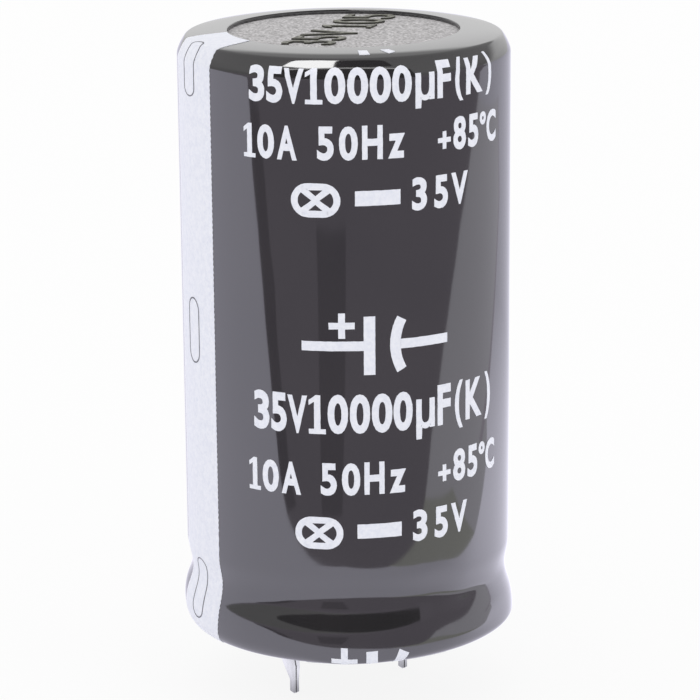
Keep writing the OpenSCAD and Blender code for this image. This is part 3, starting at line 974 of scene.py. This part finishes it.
def make_floor():
    """White floor under the terminals' tips, brighter beside the object to mirrored rays."""
    corners = [(x * FLOOR_HALF, y * FLOOR_HALF, TIP_Z) for x, y in ((-1, -1), (1, -1), (1, 1), (-1, 1))]
    mesh = bpy.data.meshes.new("floor")
    mesh.from_pydata(corners, [], [(0, 1, 2, 3)])
    floor = new_object("floor", mesh)
    shader = Shader("floor_white")
    shader.set(Base_Color=(FLOOR_GREY, FLOOR_GREY, FLOOR_GREY, 1), Roughness=1, Specular_IOR_Level=0)
    path = shader.node("ShaderNodeLightPath")
    camera_ray, mirrored_ray = path.outputs["Is Camera Ray"], path.outputs["Is Glossy Ray"]

    centred = shader.node("ShaderNodeMapping", vector_type="TEXTURE")
    centred.inputs["Location"].default_value = fit_to_part(*POOL_PLACE, TIP_Z)
    centred.inputs["Scale"].default_value = (POOL_R, POOL_R, POOL_R)
    pool = shader.node("ShaderNodeTexGradient", gradient_type="SPHERICAL")
    depth = shader.node("ShaderNodeVectorMath", {1: fit_to_part(0, 1, 0)}, operation="DOT_PRODUCT")
    rear = shader.node("ShaderNodeMapRange", {"From Min": POOL_FADE[0], "From Max": POOL_FADE[1]},
                       interpolation_type="SMOOTHSTEP")
    product = shader.node("ShaderNodeMath", operation="MULTIPLY")
    gain = shader.node("ShaderNodeMath", {1: POOL_GAIN, 2: 1}, operation="MULTIPLY_ADD")
    shader.link(shader.coords, centred.inputs["Vector"])
    shader.link(centred.outputs["Vector"], pool.inputs["Vector"])
    shader.link(shader.coords, depth.inputs[0])
    shader.link(depth.outputs["Value"], rear.inputs["Value"])
    shader.link(pool.outputs["Fac"], product.inputs[0])
    shader.link(rear.outputs["Result"], product.inputs[1])
    shader.link(product.outputs[0], gain.inputs[0])

    level = shader.node("ShaderNodeMix", {"A": 1}, data_type="FLOAT")
    tint = shader.node("ShaderNodeMix", {"A": (1, 1, 1, 1), "B": MIRRORED_TINT}, data_type="RGBA")
    white = shader.node("ShaderNodeEmission")
    shader.link(mirrored_ray, level.inputs["Factor"])
    shader.link(gain.outputs[0], level.inputs["B"])
    shader.link(level.outputs["Result"], white.inputs["Strength"])
    shader.link(mirrored_ray, tint.inputs["Factor"])
    shader.link(tint.outputs["Result"], white.inputs["Color"])

    seen = shader.node("ShaderNodeMath", {1: FLOOR_WHITE}, operation="MULTIPLY")
    share = shader.node("ShaderNodeMath", operation="MAXIMUM")
    mix = shader.node("ShaderNodeMixShader")
    shader.link(camera_ray, seen.inputs[0])
    shader.link(seen.outputs[0], share.inputs[0])
    shader.link(mirrored_ray, share.inputs[1])
    shader.link(share.outputs[0], mix.inputs["Fac"])
    shader.link(shader.bsdf.outputs[0], mix.inputs[1])
    shader.link(white.outputs[0], mix.inputs[2])
    shader.link(mix.outputs[0], shader.tree.nodes["Material Output"].inputs["Surface"])
    mesh.materials.append(shader.material)


# Cards that only reflections see: the height from layer to layer over the floor, and their usual tint
CARD_STEP = 0.2 * MM
CARD_TINT = (1.09, 1, 1.16)
NO_TINT = (1, 1, 1)


def make_card(name, points, level, tint):
    """A flat card with a grey level that only reflections see."""
    mesh = bpy.data.meshes.new(name)
    mesh.from_pydata([tuple(point) for point in points], [], [tuple(range(len(points)))])
    card = new_object(name, mesh)
    material = bpy.data.materials.new(name)
    material.use_nodes = True
    tree = material.node_tree
    emission = add_node(tree, "ShaderNodeEmission", {"Color": (*tint, 1), "Strength": level})
    tree.links.new(emission.outputs[0], tree.nodes["Material Output"].inputs["Surface"])
    mesh.materials.append(material)
    card.visible_camera = False
    card.visible_diffuse = False
    card.visible_shadow = False
    card.visible_transmission = False


def ground_card(name, points, layer, level, tint):
    """A card just over the floor, given in millimetres with +Y away from the camera."""
    height = TIP_Z + layer * CARD_STEP
    make_card(name, [fit_to_part(x * MM, y * MM, height) for x, y in points], level, tint)


def sky_card(name, corners, distance, level):
    """A card in the sky in front, by corners of azimuth (to the right) and elevation in degrees."""
    points = []
    for azimuth, elevation in corners:
        a, e = math.radians(azimuth), math.radians(elevation)
        points.append(fit_to_part(distance * math.sin(a) * math.cos(e), -distance * math.cos(a) * math.cos(e),
                                  distance * math.sin(e)))
    make_card(name, points, level, NO_TINT)


def band(points, width):
    """A strip of the given width along a line of points."""
    left, right = [], []
    for i, point in enumerate(points):
        a, b = Vector(points[max(i - 1, 0)]), Vector(points[min(i + 1, len(points) - 1)])
        side = Vector((-(b - a).y, (b - a).x)).normalized() * width / 2
        left.append(tuple(Vector(point) + side))
        right.append(tuple(Vector(point) - side))
    return left + right[::-1]


# Levels of the sky to mirrored rays, by the sine of the elevation, behind the object and in front, and
# the reach along a direction where the one fades into the other
SKY_BEHIND = [(0.0, 0.95), (0.05, 1.0), (0.16, 1.2), (0.335, 1.3), (0.4, 0.5), (0.7, 0.45), (0.9, 0.42)]
SKY_IN_FRONT = [(0.0, 0.36), (0.12, 0.37), (0.4, 0.5), (0.9, 0.45)]
SKY_SPLIT = (0, -0.75, 0.66)
SKY_FADE = (-0.4, -0.2)


def level_ramp(tree, height, stops):
    """Grey levels by height. A ramp holds none over 1, so it has their shares of the highest."""
    peak = max(level for _, level in stops)
    ramp = add_node(tree, "ShaderNodeValToRGB")
    elements = ramp.color_ramp.elements
    elements[0].position = stops[0][0]
    elements[1].position = stops[-1][0]
    for position, _ in stops[1:-1]:
        elements.new(position)
    for element, (_, level) in zip(elements, stops):
        element.color = (level / peak, level / peak, level / peak, 1)
    scaled = add_node(tree, "ShaderNodeVectorMath", operation="SCALE")
    scaled.inputs["Scale"].default_value = peak
    tree.links.new(height, ramp.inputs["Fac"])
    tree.links.new(ramp.outputs["Color"], scaled.inputs[0])
    return scaled.outputs["Vector"]


def make_world():
    """White all round for light; in reflections bright low behind, and dim in front and overhead."""
    world = bpy.data.worlds.new("studio")
    bpy.context.scene.world = world
    world.use_nodes = True
    tree = world.node_tree
    plain = tree.nodes["Background"]
    plain.inputs["Color"].default_value = (1, 1, 1, 1)
    direction = add_node(tree, "ShaderNodeTexCoord").outputs["Generated"]
    split = add_node(tree, "ShaderNodeSeparateXYZ")
    tree.links.new(direction, split.inputs[0])
    behind = level_ramp(tree, split.outputs["Z"], SKY_BEHIND)
    in_front = level_ramp(tree, split.outputs["Z"], SKY_IN_FRONT)
    along = add_node(tree, "ShaderNodeVectorMath", {1: fit_to_part(*SKY_SPLIT)}, operation="DOT_PRODUCT")
    front = add_node(tree, "ShaderNodeMapRange", {"From Min": SKY_FADE[0], "From Max": SKY_FADE[1]},
                     interpolation_type="SMOOTHSTEP")
    shade = add_node(tree, "ShaderNodeMix", data_type="RGBA")
    mirrored = add_node(tree, "ShaderNodeBackground")
    path = add_node(tree, "ShaderNodeLightPath")
    mix = add_node(tree, "ShaderNodeMixShader")
    tree.links.new(direction, along.inputs[0])
    tree.links.new(along.outputs["Value"], front.inputs["Value"])
    tree.links.new(front.outputs["Result"], shade.inputs["Factor"])
    tree.links.new(behind, shade.inputs["A"])
    tree.links.new(in_front, shade.inputs["B"])
    tree.links.new(shade.outputs["Result"], mirrored.inputs["Color"])
    tree.links.new(path.outputs["Is Glossy Ray"], mix.inputs["Fac"])
    tree.links.new(plain.outputs[0], mix.inputs[1])
    tree.links.new(mirrored.outputs[0], mix.inputs[2])
    tree.links.new(mix.outputs[0], tree.nodes["World Output"].inputs["Surface"])


# Zones of the ground as the sleeve mirrors them, in millimetres from the axis, with +Y away from the
# camera
LEFT_EDGE = [(-258, -108), (-236, -106), (-199, -94), (-157, -89), (-124, -81), (-102, -74), (-89, -70),
             (-64, -60), (-52, -54), (-40, -50)]
NEAR_EDGE = [(-22, -49), (-2, -50.5), (20, -45)]
RIGHT_EDGE = [(38, -40), (52, -42), (73, -47), (97, -46), (115, -44), (141, -36), (175, -20), (193, -5),
              (218, 14), (258, 57)]
DARK_GROUND = [(-700, -260)] + LEFT_EDGE + NEAR_EDGE + RIGHT_EDGE + [(700, 400), (700, -900), (-700, -900)]
STRIP_INNER = [(-225, -135), (-207, -130), (-172, -121), (-138, -108), (-111, -100), (-92, -87), (-80, -81),
               (-57, -68), (-46, -60), (-36, -56)]
FAR_GROUND = [(-2500, 300), (-350, -130), (-250, -350), (0, -420), (300, -350), (420, 150), (2500, 900),
              (2500, -2900), (-2500, -2900)]
COLUMN = [(-60, -173), (-46, -139), (-27, -86), (-18, -62), (-4, -65), (-3, -90), (0, -147), (1, -183)]
NEAR_SHADE = [(20, -45), (35, -33), (41, -24), (46, -11), (51, 1), (64, -20), (52, -42), (38, -40)]
FAR_SHADE = [(51, 1), (68, 23), (87, 32), (101, 55), (139, 123), (199, 165), (258, 57), (218, 14), (193, -5),
             (175, -20), (141, -36), (115, -44), (97, -46), (73, -47), (52, -42), (64, -20)]
THIN_LINE = [(75, 14), (87, 32), (101, 55), (119, 86), (139, 123), (199, 165)]
THIN_WIDTH = 4

# Each zone's name, outline, layer over the floor, level and tint
GROUND_CARDS = [
    ("dark_ground", DARK_GROUND, 1, 0.33, CARD_TINT),
    ("far_ground", FAR_GROUND, 2, 0.37, CARD_TINT),
    ("dark_strip", LEFT_EDGE + STRIP_INNER[::-1], 3, 0.2, CARD_TINT),
    ("dark_column", COLUMN, 2, 0.215, CARD_TINT),
    ("near_shade", NEAR_SHADE, 3, 0.72, (0.99, 1, 0.93)),
    ("far_shade", FAR_SHADE, 3, 0.92, (1.02, 1, 1.1)),
    ("thin_line", band(THIN_LINE, THIN_WIDTH), 4, 0.7, CARD_TINT),
]
# Cards in the sky: name, corners by azimuth and elevation, distance in metres, and level
SKY_CARDS = [
    ("dark_camera", [(-50, 8), (-20, 1.9), (0, 0.7), (50, -0.4), (50, 37), (-50, 37)], 0.6, 0.09),
    ("window", [(-50, 45), (-9, 44), (-9, 78), (-50, 78)], 0.5, 6.5),
    ("strip_light", [(-45, 38.5), (45, 38.5), (45, 40.5), (-45, 40.5)], 0.5, 2),
    ("dark_overhead", [(-7, 47), (40, 47), (40, 78), (-7, 78)], 0.5, 0.1),
]

make_camera()
make_floor()
for name, points, layer, level, tint in GROUND_CARDS:
    ground_card(name, points, layer, level, tint)
for name, corners, distance, level in SKY_CARDS:
    sky_card(name, corners, distance, level)
make_world()
bpy.context.scene.view_settings.view_transform = "Standard"
